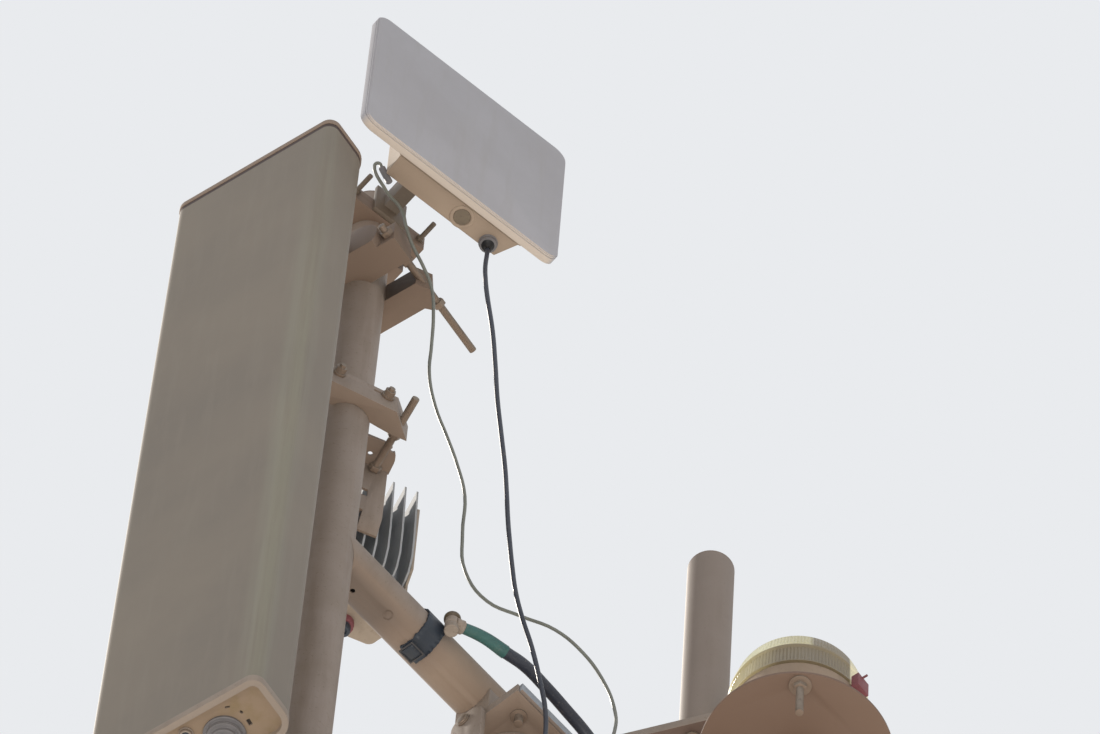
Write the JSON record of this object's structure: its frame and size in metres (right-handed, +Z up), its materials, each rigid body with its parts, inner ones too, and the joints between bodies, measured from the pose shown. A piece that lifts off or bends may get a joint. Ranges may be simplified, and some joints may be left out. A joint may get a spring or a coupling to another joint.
{
  "type": "cell tower antenna mast head",
  "caption": "Bolted mast head of a cell tower: an arm with an antenna pole, sector antenna, flat link radio, finned radio, bare side pole and beacon, with its cables.",
  "frame": {"origin": "on the mast's axis at the underside of its base flange", "axes": "+Z up along the mast, -Y along the arm towards the antenna pole, +X towards the link radio"},
  "size_m": [0.7957, 1.0272, 2.445],
  "materials": {
    "dusty_steel": "dusty beige paint over galvanised steel",
    "pale_steel": "pale blue-white paint",
    "zinc_steel": "dull zinc with dust",
    "cap_plastic": "weathered",
    "antenna_skin": "dusty grey radome",
    "antenna_cap_paint": "dusty cream",
    "connector_plastic": "weathered",
    "link_skin": "dusty white radome",
    "housing_paint": "dusty cream",
    "plug_plastic": "faded",
    "black_plastic": "weathered",
    "bracket_paint": "dusty grey-brown",
    "radio_shell": "dusty beige",
    "radio_paint": "dusty grey",
    "fitting_metal": "dull",
    "green_sleeve": "dull green",
    "cable_black": "matt",
    "cable_olive": "matt",
    "clamp_plastic": "matt",
    "beacon_paint": "dusty beige",
    "amber_lens": "faded amber",
    "red_plastic": "faded red"
  },
  "bodies": {
    "root": {"base_gussets": "dusty_steel", "base_flange": "dusty_steel", "mast_tube": "dusty_steel", "mast_top_flange": "dusty_steel", "head_plate": "dusty_steel", "arm_saddles": "dusty_steel", "arm_tube": "dusty_steel", "mast_lug": "dusty_steel", "antenna_pole": "dusty_steel", "antenna_clamps_near": "dusty_steel", "antenna_clamps_far": "dusty_steel", "link_clamp_front": "dusty_steel", "link_clamp_back": "dusty_steel", "radio_bracket": "dusty_steel", "radio_clamp_front": "dusty_steel", "side_bar": "dusty_steel", "side_pole": "dusty_steel", "beacon_arm": "dusty_steel", "beacon_post": "dusty_steel", "beacon_plate": "dusty_steel", "arm_strap_plate": "dusty_steel", "head_side_bars": "pale_steel", "head_bolts": "zinc_steel", "arm_strap_bolts": "zinc_steel", "antenna_brackets": "zinc_steel", "antenna_clamp_rods": "zinc_steel", "radio_clamp_bolts": "zinc_steel", "radio_clamp_rods": "zinc_steel", "side_pole_bolts": "zinc_steel", "beacon_bolts": "zinc_steel", "pole_caps": "cap_plastic", "arm_end_cap": "cap_plastic", "antenna_body": "antenna_skin", "antenna_top_cap": "antenna_cap_paint", "antenna_bottom_cap": "antenna_cap_paint", "antenna_connectors": "connector_plastic", "link_back_gland": "connector_plastic", "link_panel": "link_skin", "link_housing": "housing_paint", "link_plug": "plug_plastic", "link_gland": "black_plastic", "radio_connectors": "black_plastic", "coax_strap": "black_plastic", "link_yoke": "bracket_paint", "link_bracket": "bracket_paint", "link_clamp_rods": "bracket_paint", "radio_body": "radio_shell", "radio_fins": "radio_paint", "coax_fitting": "fitting_metal", "coax_sleeve": "green_sleeve", "coax_cable": "cable_black", "cable_b": "cable_black", "cable_a": "cable_olive", "cable_clamps": "clamp_plastic", "beacon_base": "beacon_paint", "beacon_lens": "amber_lens", "beacon_clip": "red_plastic"}
  },
  "joints": []
}
